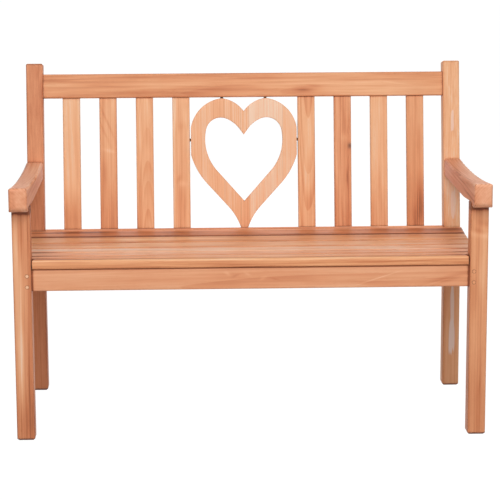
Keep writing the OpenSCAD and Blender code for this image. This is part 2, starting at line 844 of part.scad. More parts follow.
module heart_splat() color(timber) placed() in_back() {
  difference() {
    union() {
      translate([0, back_rail_mid + back_slat_t/2, lower_rail_top + seat_gap])
        rotate([90, 0, 0]) linear_extrude(back_slat_t) heart_plate();
      heart_tail_tenon(0, 0);
    }
    heart_top_dowel_set(peg_play, end_play);
    heart_side_dowel_set(peg_play, end_play);
  }
}

module heart_side_dowels() color(dark_timber) placed() in_back() heart_side_dowel_set(0, 0);

module heart_top_dowels() color(dark_timber) placed() in_back() heart_top_dowel_set(0, 0);

module top_rail() color(timber) placed() in_back() {
  difference() {
    back_rail_blank(top_rail_low, tenon_l);
    all_slat_mortises();
    heart_top_dowel_set(peg_play, end_play);
  }
}

module lower_back_rail() color(timber) placed() {
  difference() {
    in_back() difference() {
      back_rail_blank(lower_rail_low, lower_tenon_l);
      all_slat_mortises();
      heart_tail_tenon(tenon_play, end_play);
    }
    bearer_back_tenon(tenon_play, end_play);
  }
}

// Seat

function slat_half_l(i) = i == 1 ? leg_in - slat_end_gap : leg_out + slat_over;

// What the rounding takes off a slat: the upper edge of its ends and, on the first one, its upper front edge.
module slat_edge_waste(i) {
  for (s = sides) on_side(s) {
    translate([slat_half_l(i), seat_slat_w/2 + over, 0])
      rotate([90, 180, 0]) linear_extrude(seat_slat_w + 2*over) corner_waste(slat_end_r);
  }
  if (i == 1) {
    from_side(bench_w) translate([-seat_slat_w/2, 0]) mirror([0, 1]) corner_waste(slat_nose_r);
  }
}

module seat_slat(i) color(timber) placed() {
  difference() {
    at_slat(i) difference() {
      translate([0, 0, -seat_slat_t/2]) eased_bar(2*slat_half_l(i), seat_slat_w, seat_slat_t, edge_r);
      slat_edge_waste(i);
    }
    at_screws([for (p = concat(bearer_screws, side_screws)) if (p[0] == i) p]) slat_screw_shank(screw_play);
    if (i == 1) at_front_screws() slat_screw_shank(screw_play);
  }
}

module slat_screw() {
  slat_screw_shank(0);
  slat_screw_head(0, screw_head_h);
}

module seat_screws() color(metal) placed() {
  at_screws(concat(bearer_screws, side_screws)) slat_screw();
  at_front_screws() slat_screw();
}

// Nodes

module left_front_leg() color(timber) placed() on_side(-1) front_leg();
module right_front_leg() color(timber) placed() on_side(1) front_leg();
module left_back_leg() color(timber) placed() on_side(-1) back_leg();
module right_back_leg() color(timber) placed() on_side(1) back_leg();
module left_arm() color(timber) placed() on_side(-1) arm();
module right_arm() color(timber) placed() on_side(1) arm();
module left_side_rail() color(timber) placed() on_side(-1) side_rail();
module right_side_rail() color(timber) placed() on_side(1) side_rail();
module back_slat_1() back_slat(1);
module back_slat_2() back_slat(2);
module back_slat_3() back_slat(3);
module back_slat_4() back_slat(4);
module back_slat_5() back_slat(5);
module back_slat_6() back_slat(6);
module back_slat_7() back_slat(7);
module back_slat_8() back_slat(8);
module seat_slat_1() seat_slat(1);
module seat_slat_2() seat_slat(2);
module seat_slat_3() seat_slat(3);
module seat_slat_4() seat_slat(4);
module seat_slat_5() seat_slat(5);
module seat_slat_6() seat_slat(6);
module seat_slat_7() seat_slat(7);

module front_rail_pegs() color(timber) placed() {
  for (s = sides) on_side(s) front_rail_peg_set(0, 0);
}

module side_rail_pegs() color(timber) placed() {
  for (s = sides) on_side(s) side_rail_peg_set(0, 0);
}

module lower_rail_pegs() color(timber) placed() in_back() {
  for (s = sides) on_side(s) back_rail_peg_set(lower_rail_low, 0, 0);
}

module top_rail_pegs() color(timber) placed() in_back() {
  for (s = sides) on_side(s) back_rail_peg_set(top_rail_low, 0, 0);
}

left_front_leg();
right_front_leg();
left_back_leg();
right_back_leg();
left_arm();
right_arm();
front_rail();
left_side_rail();
right_side_rail();
centre_bearer();
top_rail();
lower_back_rail();
back_slat_1();
back_slat_2();
back_slat_3();
back_slat_4();
back_slat_5();
back_slat_6();
back_slat_7();
back_slat_8();
heart_splat();
heart_side_dowels();
heart_top_dowels();
seat_slat_1();
seat_slat_2();
seat_slat_3();
seat_slat_4();
seat_slat_5();
seat_slat_6();
seat_slat_7();
front_rail_pegs();
side_rail_pegs();
lower_rail_pegs();
top_rail_pegs();
seat_screws();
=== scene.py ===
# %% [markdown]
# # A teak garden bench with a heart in its back
#
# This notebook dresses a finished CAD model. The CAD holds every board at its full size,
# so nothing here moves or reshapes a board. What is made here is the timber itself:
# where each board was cut from its log, how its rings run, its colour, pores, knots,
# glue lines and eased edges, and then a soft studio to look at it in.

# %% Load the frame
import math

import bpy
import numpy as np
from mathutils import Matrix, Vector

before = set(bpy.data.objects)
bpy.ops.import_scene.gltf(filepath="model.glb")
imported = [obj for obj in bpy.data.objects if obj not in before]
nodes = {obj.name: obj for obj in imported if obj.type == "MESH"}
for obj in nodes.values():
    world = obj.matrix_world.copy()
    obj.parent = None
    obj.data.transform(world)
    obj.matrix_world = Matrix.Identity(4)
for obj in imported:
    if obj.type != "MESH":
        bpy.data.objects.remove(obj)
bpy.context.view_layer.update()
print("boards and fixings:", len(nodes))

# %% [markdown]
# ## Camera
#
# At this size of bench, the edges in the photograph fit a camera five metres away with a
# long lens, a little left of the middle and looking slightly down. A long lens keeps the
# legs nearly parallel. The place and the three angles come from matching the edges of legs,
# slats and rails. The frame has no shift, which leaves the right end up to two pixels off.

# %% Camera
CAMERA_AT = (-0.16521, -5.13962, 1.41209)
CAMERA_YAW = 0.03342
CAMERA_PITCH = 0.18847
CAMERA_ROLL = 0.00447
FOCAL_IN_PIXELS = 1970.9
PICTURE_IN_PIXELS = 500


def camera_axes(yaw, pitch, roll):
    """Right, up and backward directions of a camera turned by yaw, tipped down by pitch, then rolled."""
    forward = Vector((math.sin(yaw) * math.cos(pitch), math.cos(yaw) * math.cos(pitch), -math.sin(pitch)))
    level_right = Vector((math.cos(yaw), -math.sin(yaw), 0))
    level_down = forward.cross(level_right)
    right = math.cos(roll) * level_right + math.sin(roll) * level_down
    down = math.cos(roll) * level_down - math.sin(roll) * level_right
    return right, -down, -forward


lens = bpy.data.cameras.new("studio_camera")
lens.sensor_width = 36
lens.lens = FOCAL_IN_PIXELS / PICTURE_IN_PIXELS * lens.sensor_width
camera = bpy.data.objects.new("studio_camera", lens)
bpy.context.scene.collection.objects.link(camera)
camera.matrix_world = Matrix.Translation(CAMERA_AT) @ Matrix(
    camera_axes(CAMERA_YAW, CAMERA_PITCH, CAMERA_ROLL)).transposed().to_4x4()
bpy.context.scene.camera = camera
print("lens: %.1f mm" % lens.lens)

# %% [markdown]
# ## Shader sums written as sums
#
# A wood shader is mostly arithmetic: distances, sines, steps. Wiring each sum by hand
# hides it, so one small class wraps a socket and lets Python's own signs add the Math
# nodes. Anything that isn't arithmetic comes from one method, `add`.


# %% Wires and finishes
class Wire:
    """One output socket. Signs between wires and numbers add the Math node that does the sum."""

    def __init__(self, finish, socket):
        self.finish = finish
        self.socket = socket

    def math(self, operation, *others):
        """A Math node whose first value is this wire."""
        return self.finish.math(operation, self, *others)

    def __add__(self, other):
        return self.math("ADD", other)

    def __sub__(self, other):
        return self.math("SUBTRACT", other)

    def __rsub__(self, other):
        return self.finish.math("SUBTRACT", other, self)

    def __mul__(self, other):
        return self.math("MULTIPLY", other)

    def __truediv__(self, other):
        return self.math("DIVIDE", other)

    def __abs__(self):
        return self.math("ABSOLUTE")

    __radd__ = __add__
    __rmul__ = __mul__

    def rises(self, low, high):
        """0 below low, 1 above high, and a smooth slope between them. With low above high it falls."""
        return self.finish.add("MapRange", {"interpolation_type": "SMOOTHSTEP", "clamp": True},
                               {"Value": self, "From Min": low, "From Max": high})

    def parts(self):
        """The numbers that a vector or colour is made of, one wire each."""
        split = self.finish.add("SeparateXYZ", {}, {"Vector": self}).socket.node
        return [Wire(self.finish, out) for out in split.outputs]


class Finish:
    """A material, or the world, under construction: `add` makes any node, the rest make common ones."""

    def __init__(self, owner, surface="Principled BSDF"):
        owner.use_nodes = True
        self.material = owner
        self.tree = owner.node_tree
        self.surface = self.tree.nodes[surface]

    def add(self, kind, settings=None, sockets=None, out=0):
        """A node of a kind, such as Math: its settings first, then a value or a wire for each socket."""
        node = self.tree.nodes.new("ShaderNode" + kind)
        for key, value in (settings or {}).items():
            setattr(node, key, value)
        for key, value in (sockets or {}).items():
            self.put(node.inputs[key], value)
        return Wire(self, node.outputs[out])

    def math(self, operation, *values):
        return self.add("Math", {"operation": operation}, dict(enumerate(values)))

    def put(self, socket, value):
        if isinstance(value, Wire):
            self.tree.links.new(value.socket, socket)
        else:
            socket.default_value = value

    def set(self, **values):
        """Values or wires for the surface's own sockets, with _ for a space in their names."""
        for key, value in values.items():
            self.put(self.surface.inputs[key.replace("_", " ")], value)

    def blend(self, share, a, b):
        """Colour a where share is 0 and colour b where it is 1. A Mix node's colour sockets are 6 and 7."""
        return self.add("Mix", {"data_type": "RGBA"}, {0: share, 6: a, 7: b}, out=2)

    def vector(self, operation, a, b, out=0):
        return self.add("VectorMath", {"operation": operation}, {0: a, 1: b}, out=out)

    def dot(self, a, b):
        """How far direction a goes along direction b: 1 where they agree, 0 where they are square."""
        return self.vector("DOT_PRODUCT", a, b, out=1)

    def noise(self, place, scale, detail=1.0, out=0):
        """Soft noise round 0.5, with so many clouds per metre along, across and through. Out 1 has three."""
        return self.add("TexNoise", {}, {"Vector": self.vector("MULTIPLY", place, scale),
                                         "Scale": 1.0, "Detail": detail}, out=out)

    def ramp(self, share, stops):
        """A colour that runs through the stops, each a place from 0 to 1 and a colour."""
        wire = self.add("ValToRGB", {}, {0: share})
        band = wire.socket.node.color_ramp
        while len(band.elements) < len(stops):
            band.elements.new(1.0)
        for element, (place, colour) in zip(band.elements, stops):
            element.position = place
            element.color = colour
        return wire


print("helpers:", Wire.__name__, "and", Finish.__name__)

# %% [markdown]
# ## Cutting boards from a log
#
# Real grain is the cut through a stack of growth rings. So the rings are solid: each board
# gets its own log, whose pith runs beside or behind it. Where the rings are cut square, the
# face shows straight lines. Where they are cut nearly flat, it shows long arched figures,
# and the ends show the arcs of the rings, because all three faces cut one and the same
# solid. A picture wrapped round the board could not do that.

# %% Board frames
FACING, OBJECT_PLACE = 1, 3  # two outputs of the Texture Coordinate node: its normal and its object place
RAKE = math.radians(9.1)
ALONG_X = Vector((1, 0, 0))
ALONG_Y = Vector((0, 1, 0))
ALONG_Z = Vector((0, 0, 1))
UP_THE_BACK = Vector((0, math.sin(RAKE), math.cos(RAKE)))
INTO_THE_BACK = Vector((0, math.cos(RAKE), -math.sin(RAKE)))


def corners_of(name):
    """The vertices of a board, as an array of points."""
    mesh = nodes[name].data
    points = np.empty(len(mesh.vertices) * 3, np.float32)
    mesh.vertices.foreach_get("co", points)
    return points.reshape(-1, 3)


def board_frame(name, along, through):
    """Centre and directions of a board: along its grain, across its face, through it."""
    across = through.cross(along).normalized()
    turn = np.array([along, across, through])
    local = corners_of(name) @ turn.T
    centre = turn.T @ ((local.min(0) + local.max(0)) / 2)
    return Vector(centre), Matrix(turn.tolist())


def board_place(finish, centre, turn):
    """Position inside the board in metres: along, across and through, from its middle."""
    seen = finish.add("TexCoord", out=OBJECT_PLACE)
    return finish.add("Mapping", {"vector_type": "POINT"}, {
        "Vector": seen, "Rotation": turn.to_euler(), "Location": -(turn @ centre)})


print("the back leans %.1f degrees" % math.degrees(RAKE))

# %% [markdown]
# ## Rings and knots
#
# A ring is a surface at one distance from the pith. Its darkness climbs slowly through the
# summer and drops at once where the next spring's pores begin. Years differ, so each has
# its own width and strength. The pith leans, which draws the long arches, and it wanders a
# little. Near a knot the rings swell aside in the shape of a bell.

# %% Rings
RING_START, RING_DARKEST, RING_ENDS = 0.30, 0.92, 0.96
YEARS_DIFFER, WEAKEST_RING = 1.6, 0.25
STAVE_SHIFT = (0.037, 0.011)
KNOT_LENGTH, KNOT_SWELL = 2.6, 1.1


def bell(x, y):
    """1 in the middle and falling to nearly 0 at a distance of 2: e to the power -(x*x + y*y)."""
    return (x * x + y * y).math("MULTIPLY", -1.0).math("EXPONENT")


def rings(finish, place, board, seed):
    """Darkness of the late wood, share of the year's growth, and the place along and across the board."""
    along, across, through = place.parts()
    sway_side, sway_depth, _ = finish.noise(place, (1.6, 15, 15), 1.5, out=1).parts()
    stave = 0.0
    for at in board.glue:
        stave = (across - at).rises(-0.0001, 0.0001) + stave
    side = across - board.pith[0] - along * board.lean[0] + (sway_side - 0.5) * board.wander
    depth = through - board.pith[1] - along * board.lean[1] + (sway_depth - 0.5) * board.wander
    if board.glue:
        side = side - stave * STAVE_SHIFT[0]
        depth = depth - stave * STAVE_SHIFT[1]
    radius = (side * side + depth * depth).math("SQRT")
    for knot in board.knots:
        at_along, at_across, size = knot
        swelling = bell((along - at_along) / (size * KNOT_LENGTH), (across - at_across) / size)
        radius = radius + swelling * (size * KNOT_SWELL)
    uneven = finish.add("TexNoise", {"noise_dimensions": "1D"},
                        {"W": radius * 70 + seed, "Scale": 1.0, "Detail": 1.0})
    count = radius / board.ring + uneven * YEARS_DIFFER
    share = count.math("FRACT")
    strength = finish.add("TexWhiteNoise", {"noise_dimensions": "1D"}, {"W": count.math("FLOOR") + seed})
    late = share.rises(RING_START, RING_DARKEST) * share.rises(1.0, RING_ENDS)
    return late * (strength * (1.0 - WEAKEST_RING) + WEAKEST_RING), share, along, across


print("the late wood begins at %.0f%% of a year's growth" % (100 * RING_START))

# %% [markdown]
# ## Teak
#
# New sanded teak is a light orange tan. Its late wood is a shade browner, and one board
# differs from the next: some are pinker, some nearly yellow. At arm's length one also sees
# broad soft streaks, and close by the short dark pores of the early wood. Each of these is
# one layer of darkness, from the widest to the finest. Their sum runs up one ramp of real
# teak colours, because in this timber a darker place is also a redder one.

# %% Colours of the timber
TIMBER = [(0.00, (0.94, 0.69, 0.50, 1)), (0.25, (0.92, 0.50, 0.27, 1)), (0.50, (0.80, 0.35, 0.165, 1)),
          (0.75, (0.62, 0.21, 0.085, 1)), (1.00, (0.24, 0.07, 0.025, 1))]
GLUE = (0.30, 0.12, 0.06, 1)
KNOT = (0.16, 0.055, 0.03, 1)
CHALKY = (0.93, 0.73, 0.65, 1)
print("ramp from", TIMBER[0][1][:3], "to", TIMBER[-1][1][:3])

# %% [markdown]
# ## What is said about a board
#
# Each board gets a short description, and one function turns it into a material. The
# description could be a long list of shader values, but then no one would know which board
# it belongs to. So it holds what a joiner would say: how it was cut from the log, how dark
# and how pink it is, how strong its streaks are, and where it has marks and knots.


# %% The description of a board
class Board:
    """How one board was cut and what it looks like. Lengths are in metres.

    dark moves it along the ramp of timber colours, red from yellow (below 0) to pink (above 0).
    ring is the width of a year, pith where the log's middle lies, lean and wander how it runs,
    late how dark the late wood is, streaks how strong they are, wear_and_shade_reach how far
    the edges darken, for wear and as painted shade.
    marks: place along, place across, half length, half width, turn in degrees, darkness.
    filler: the same without a turn, and how much it hides. knots: place along, place across, size.
    glue: places across of the glue lines, and staves: the change of darkness past each of them.
    """

    def __init__(self, dark=0.42, red=0.0, ring=0.006, pith=(0.02, -0.07), lean=(0.0, 0.012), wander=0.010,
                 late=0.16, streaks=1.0, wear_and_shade_reach=0.004, knots=(), glue=(), staves=(), marks=(), filler=()):
        self.dark, self.red, self.late = dark, red, late
        self.ring, self.pith, self.lean = ring, pith, lean
        self.wander, self.streaks, self.wear_and_shade_reach = wander, streaks, wear_and_shade_reach
        self.knots, self.glue, self.staves, self.marks, self.filler = knots, glue, staves, marks, filler


print("a plain board:", vars(Board()))

# %% [markdown]
# ## Marks and filler
#
# A mark is a place where the timber is darker or lighter: a stain, a wild swirl of grain, a
# band of pale sapwood. Some marks are painted shade, painted shadow or a painted highlight
# instead. A mark's edge is soft and wavers with the streaks, so it belongs to the wood.
# Filler is something laid into the wood. Its edge is ragged but sharp.

# %% Marks and filler
RAGGED_EDGE = (0.25, 0.65)


def mark_shape(lengthways, sideways, mark, waver):
    """A soft patch: a bell in coordinates turned by the mark's angle, with a wavering outline."""
    at_along, at_across, half_long, half_wide, degrees, darkness = mark
    c, s = math.cos(math.radians(degrees)), math.sin(math.radians(degrees))
    x = ((lengthways - at_along) * c + (sideways - at_across) * s) / half_long
    y = ((sideways - at_across) * c - (lengthways - at_along) * s) / half_wide + waver
    return bell(x, y) * darkness


def filled(lengthways, sideways, patch, waver):
    """1 inside a patch of filler and 0 outside: like a mark, but with square shoulders."""
    at_along, at_across, half_long, half_wide, strength = patch
    x = (lengthways - at_along) / half_long + waver
    y = (sideways - at_across) / half_wide + waver
    return bell(x * x, y * y).rises(*RAGGED_EDGE) * strength


print("a mark keeps %.0f%% of its darkness at its half width" % (100 * math.exp(-1)))


# %% [markdown]
# ## Edges, joints and ends
#
# Handling and sanding change a bench first along its edges, and there the rounded arris also
# turns from the light: the edges darken for wear and as painted shade. The joints darken as
# painted shade. Both could be painted by hand, but the shape itself knows where they are. A
# rounded copy of the normal leans away from the real one only near an edge. A short feeler
# for the open sky finds the joints. Across the ends of a board the pores stand upright, so
# the streaks fade there.

# %% Edges, joints and ends
CREVICE_REACH = 0.012


def arris(finish, reach):
    """1 along edges, 0 on flat faces: how far the normal of a rounded copy leans from the real one."""
    rounded = finish.add("Bevel", {"samples": 4}, {"Radius": reach})
    real = finish.add("NewGeometry", out=1)
    return (1.0 - finish.dot(rounded, real)).rises(0.0, 0.12)


def crevice(finish, reach):
    """1 deep in a joint and 0 in the open: the share of the near sky that neighbours hide."""
    openness = finish.add("AmbientOcclusion", {"samples": 6}, {"Distance": reach}, out=1)
    return (1.0 - openness).rises(0.12, 0.75)


def end_grain(finish, along):
    """1 on faces cut across the grain, 0 on faces along it."""
    facing = finish.add("TexCoord", out=FACING)
    return abs(finish.dot(facing, along)).rises(0.5, 0.9)


print("joints darken within %.0f mm" % (CREVICE_REACH * 1000))

# %% [markdown]
# ## The layers of the timber
#
# Every layer is a number of darkness, and they are simply added: rings, broad and narrow
# streaks, fibres a millimetre apart, pores, clouds as large as a hand, then marks, edges
# and joints. The sum reads the ramp. The same fibres and pores also make the surface
# rougher and move the light a little, by less than half a millimetre of relief.

# %% Teak
MEAN_OF_RINGS = 0.3
BROAD_STREAKS, NARROW_STREAKS = 0.75, 0.60
FIBRES, PORES, CLOUDS = 0.16, 0.10, 0.16
# Edges darken for wear and as painted shade of the rounded arris. Crevices darken as painted shade.
EDGE_WEAR_AND_SHADE, CREVICE_PAINTED_SHADE = 0.42, 0.75
END_FADES, END_DARKER = 0.5, 0.03
PINK_SHIFT = 0.10
GLUE_LINE, GLUE_SHOWS = (0.0007, 0.0002), 0.3
KNOT_EYE, KNOT_SHOWS = (0.6, 0.45), 0.85
NOISE_STEP = (1.7, 0.31, 0.47)


def teak(name, board, along, through, seed):
    """A material for one board."""
    finish = Finish(bpy.data.materials.new("teak_" + name))
    centre, turn = board_frame(name, along, through)
    place = board_place(finish, centre, turn)
    late, share, lengthways, sideways = rings(finish, place, board, seed)
    moved = finish.vector("ADD", place, tuple(seed * step for step in NOISE_STEP))

    broad = finish.noise(moved, (2.0, 38, 38), 2.0) - 0.5
    narrow = finish.noise(moved, (4.5, 150, 150), 2.0) - 0.5
    fibre = finish.noise(moved, (28, 1100, 1100), 2.0) - 0.5
    cloud = finish.noise(moved, (6, 10, 10), 1.0) - 0.5
    pores = finish.noise(moved, (75, 1900, 1900), 1.0).rises(0.60, 0.68) * share.rises(0.45, 0.05)
    edge = arris(finish, board.wear_and_shade_reach)
    # A mask for painted shade in joints and crevices.
    joint = crevice(finish, CREVICE_REACH)
    end = end_grain(finish, along)

    streaks = (broad * BROAD_STREAKS + narrow * NARROW_STREAKS) * board.streaks
    figure = (late - MEAN_OF_RINGS) * board.late + streaks
    dark = figure * (1.0 - end * END_FADES) + end * END_DARKER
    dark = dark + fibre * FIBRES + pores * PORES + cloud * CLOUDS + board.dark
    for stave_at, change in zip(board.glue, board.staves):
        dark = dark + (sideways - stave_at).rises(-0.0001, 0.0001) * change
    for mark in board.marks:
        dark = dark + mark_shape(lengthways, sideways, mark, broad * 2.0)
    # Edges darken for wear and as painted shade. Joints and crevices darken as painted shade.
    dark = dark + edge * EDGE_WEAR_AND_SHADE + joint * CREVICE_PAINTED_SHADE
    colour = finish.ramp(dark, TIMBER)
    pinker = PINK_SHIFT * board.red
    colour = finish.vector("MULTIPLY", colour, (1.0, 1.0 - pinker, 1.0 + pinker))
    for at in board.glue:
        colour = finish.blend(abs(sideways - at).rises(*GLUE_LINE) * GLUE_SHOWS, colour, GLUE)
    for patch in board.filler:
        colour = finish.blend(filled(lengthways, sideways, patch, narrow * 1.4), colour, CHALKY)
    for at_along, at_across, size in board.knots:
        eye = bell((lengthways - at_along) / (size * KNOT_EYE[0]),
                   (sideways - at_across) / (size * KNOT_EYE[1]) + narrow * 2.0)
        colour = finish.blend(eye * KNOT_SHOWS, colour, KNOT)

    finish.set(Base_Color=colour, Specular_IOR_Level=0.35,
               Roughness=0.50 + fibre * 0.16 + pores * 0.2 - edge * 0.06 + cloud * 0.08)
    relief = late * 0.35 + fibre * 0.5 - pores * 1.2
    finish.set(Normal=finish.add("Bump", {}, {"Strength": 0.35, "Distance": 0.0004, "Height": relief}))
    return finish.material


print("streaks reach %.2f darker or lighter than the board" % ((BROAD_STREAKS + NARROW_STREAKS) / 2))

# %% [markdown]
# ## Dressing the boards
#
# Every board has its own log, so every board has its own material. One function looks up
# the board, makes its timber and prints its size. The seed grows with each board, which
# keeps neighbours from showing the same streaks.

# %% Dressing a board
UPRIGHT = (ALONG_Z, ALONG_Y)
SLAT = (UP_THE_BACK, INTO_THE_BACK)
RAIL = (ALONG_X, INTO_THE_BACK)
CROSSWISE = (ALONG_X, ALONG_Y)
FLAT = (ALONG_X, ALONG_Z)
FORE_AND_AFT = (ALONG_Y, ALONG_Z)
PEG_FORWARD = (ALONG_Y, ALONG_Z)
PEG_SIDEWAYS = (ALONG_X, ALONG_Z)
dressed = []


def dress(name, cut, board):
    """Give a board its timber. The cut is the direction of its grain and the one through its face."""
    along, through = cut
    material = teak(name, board, along, through, len(dressed) * 3.1 + 0.7)
    nodes[name].data.materials.clear()
    nodes[name].data.materials.append(material)
    dressed.append(name)
    turn = np.array(board_frame(name, along, through)[1])
    size = np.ptp(corners_of(name) @ turn.T, axis=0) * 1000
    print("%-17s %5.0f along, %4.0f across, %4.0f through, mm" % (name, *size))


print("boards and fixings to dress:", len(nodes))

# %% [markdown]
# ## Front legs
#
# The front legs are plain square posts with a tenon at the top that goes into the arm.
# They could be split from the heart of the tree, but posts cut beside it, with the pith
# some ten centimetres off, stay straighter. Their faces then show nearly straight lines. The
# left one has a broad pale band low down. Both get a painted shadow just under the arm and
# a painted shade low down, towards the floor.

# %% Front legs
# Painted shadow under the arm's nose, at the top of each front leg.
PAINTED_SHADOW_UNDER_ARM = (0.276, 0.0, 0.008, 0.1, 0, 1.0)
dress("left_front_leg", UPRIGHT, Board(dark=0.58, red=0.2, pith=(0.10, 0.03), late=0.12, streaks=0.7, marks=[
    PAINTED_SHADOW_UNDER_ARM, (-0.08, -0.007, 0.18, 0.0095, 0, -0.38), (0.14, -0.020, 0.10, 0.012, 0, -0.22),
    (-0.05, 0.018, 0.25, 0.006, 0, 0.12), (-0.02, -0.026, 0.25, 0.003, 0, 0.14),
    (0.215, 0.0, 0.06, 0.005, 0, 0.18), (0.215, 0.016, 0.06, 0.003, 0, 0.16),
    # The last mark on the next line is painted shade at the foot of the leg.
    (0.20, 0.0, 0.09, 0.06, 0, 0.05), (-0.27, 0.0, 0.09, 0.06, 0, 0.15),
    (-0.24, 0.004, 0.06, 0.002, 0, 0.14), (-0.25, -0.010, 0.06, 0.002, 0, 0.14)]))
dress("right_front_leg", UPRIGHT, Board(dark=0.54, red=0.1, pith=(-0.1, 0.03), late=0.1, streaks=0.6, marks=[
    PAINTED_SHADOW_UNDER_ARM, (0.05, -0.012, 0.06, 0.008, 0, 0.14), (0.0, -0.028, 3.0, 0.006, 0, 0.26),
    (0.235, 0.008, 0.010, 0.016, 15, 0.16), (0.215, -0.004, 0.007, 0.014, 20, 0.16),
    (0.205, 0.0, 0.008, 0.05, 10, -0.14), (0.10, 0.004, 0.05, 0.010, 0, -0.14),
    # The last mark on the next line is painted shade at the foot of the leg.
    (-0.05, 0.000, 0.10, 0.008, -3, -0.10), (-0.25, 0.0, 0.10, 0.06, 0, 0.12),
    (-0.19, 0.006, 0.03, 0.003, 4, 0.10)]))

# %% [markdown]
# ## Back legs
#
# Each back leg is one long piece, upright to the seat and then leaning back. The right one
# carries pale patches, the tallest low down behind the seat. What they are can't be told
# from one picture. They are colder in colour than the teak round them, so they are made as
# if they were filler: a chalky colour laid over the grain, with a ragged outline.

# %% Back legs
# The first mark of each back leg is painted shade low down, under the seat.
dress("left_back_leg", UPRIGHT, Board(dark=0.59, red=0.2, pith=(0.12, 0.02), late=0.12, streaks=0.45, marks=[
    (-0.35, 0.0, 0.25, 0.5, 0, 0.15), (0.03, 0.0, 0.06, 0.5, 0, 0.10), (0.30, 0.0, 0.20, 0.5, 0, 0.05)]))
dress("right_back_leg", UPRIGHT, Board(dark=0.30, pith=(-0.12, 0.02), streaks=0.7, marks=[
    (-0.35, 0.0, 0.25, 0.5, 0, 0.08), (0.0, -0.020, 0.9, 0.004, 0, 0.12),
    (0.12, 0.0, 0.09, 0.5, 0, -0.19)], filler=[
        (0.288, 0.003, 0.028, 0.0038, 0.55), (0.060, 0.003, 0.034, 0.0060, 0.55),
        (-0.225, 0.003, 0.055, 0.0062, 0.75), (-0.309, 0.003, 0.048, 0.0085, 0.85)]))

# %% [markdown]
# ## Arms
#
# The arms are the pinkest boards of this bench. Their grain runs from back to front, so
# the nose shows the arcs of the end grain, and the rings are narrow.

# %% Arms
for side, name, dark, nose in ((1, "left_arm", 0.42, 0.0), (-1, "right_arm", 0.48, -0.12)):
    pith = (side * 0.05, -0.04)
    dress(name, FORE_AND_AFT, Board(dark=dark, red=0.55, ring=0.005, late=0.26, pith=pith, marks=[
        (-0.302, 0.0, 0.012, 0.5, 0, nose), (-0.302, 0.020, 0.012, 0.008, 0, 0.12)]))

# %% [markdown]
# ## Rails and bearer
#
# The front rail stands under the seat with a painted shadow of the seat as a dark line along
# its top, and painted shade at its ends against the legs. The top rail has a small dark burl
# right of the heart and browner streaks along its middle. The side rails and the bearer don't
# show in the photograph, so they are plain boards.

# %% Rails and bearer
# The first mark is a painted shadow of the seat along the top, the third and fourth painted shade at the
# ends.
dress("front_rail", CROSSWISE, Board(dark=0.45, red=0.3, streaks=0.5, marks=[
    (0.0, -0.0275, 3.0, 0.0018, 0, 0.85), (0.0, 0.002, 0.25, 0.020, 0, 0.05),
    (-0.549, 0.0, 0.0025, 0.5, 0, 0.55), (0.549, 0.0, 0.0025, 0.5, 0, 0.55),
    (0.50, 0.006, 0.05, 0.008, -15, 0.22), (0.47, 0.016, 0.04, 0.002, -16, -0.14),
    (0.32, 0.004, 0.05, 0.0015, -18, -0.24),
    (-0.06, -0.012, 0.008, 0.004, 30, -0.14), (-0.04, -0.006, 0.010, 0.003, -20, 0.12),
    (-0.01, -0.010, 0.008, 0.003, 25, -0.12), (0.03, 0.002, 0.010, 0.004, -25, -0.10),
    (0.06, 0.004, 0.012, 0.003, 15, 0.10)]))
dress("left_side_rail", FORE_AND_AFT, Board())
dress("right_side_rail", FORE_AND_AFT, Board())
dress("centre_bearer", FORE_AND_AFT, Board())
dress("top_rail", RAIL, Board(dark=0.48, pith=(0.02, -0.09), marks=[
    (0.165, 0.012, 0.028, 0.007, 0, 0.26), (0.155, 0.008, 0.055, 0.014, 0, 0.15),
    (0.20, 0.004, 0.02, 0.004, 5, 0.12), (-0.38, 0.0, 0.07, 0.006, 2, 0.15),
    (-0.04, 0.008, 0.17, 0.010, 0, 0.20), (-0.04, 0.0, 0.20, 0.06, 0, 0.07),
    (0.42, -0.002, 0.05, 0.002, 8, -0.10)]))
dress("lower_back_rail", RAIL, Board(dark=0.50, red=0.3))

# %% [markdown]
# ## Heart
#
# The tone of the heart jumps along faint upright lines, so it is read as sawn from a panel
# of five staves glued edge to edge. It could be one wide board, but that would cup. Each
# stave comes from another board, so at a glue line the rings jump as well as the tone.

# %% Heart
dress("heart_splat", SLAT, Board(dark=0.27, red=0.1, streaks=0.45, glue=(-0.054, -0.009, 0.0136, 0.107),
                                 staves=(-0.06, 0.03, -0.17, 0.12), marks=[
                                     (-0.17, 0.0, 0.05, 0.05, 0, 0.15), (-0.09, 0.045, 0.08, 0.05, 0, 0.10),
                                     (0.13, 0.005, 0.05, 0.010, 0, -0.05)]))

# %% [markdown]
# ## Back slats
#
# Eight slats, and no two alike. Some are cut square to the rings and show fine straight
# lines. The third and fifth are cut nearly flat, so the pith lies behind their middle and
# leans, which draws the long pointed arches. The sixth has a knot at its edge, and the
# rings swell aside round it. All of them get a painted shade towards the seat, and the
# first and last a painted shadow of the arms low down on their outer sides.

# %% Back slats
# Painted shade towards the seat, on every back slat.
PAINTED_SHADE_LOW_DOWN = (-0.19, 0.0, 0.13, 0.5, 0, 0.12)
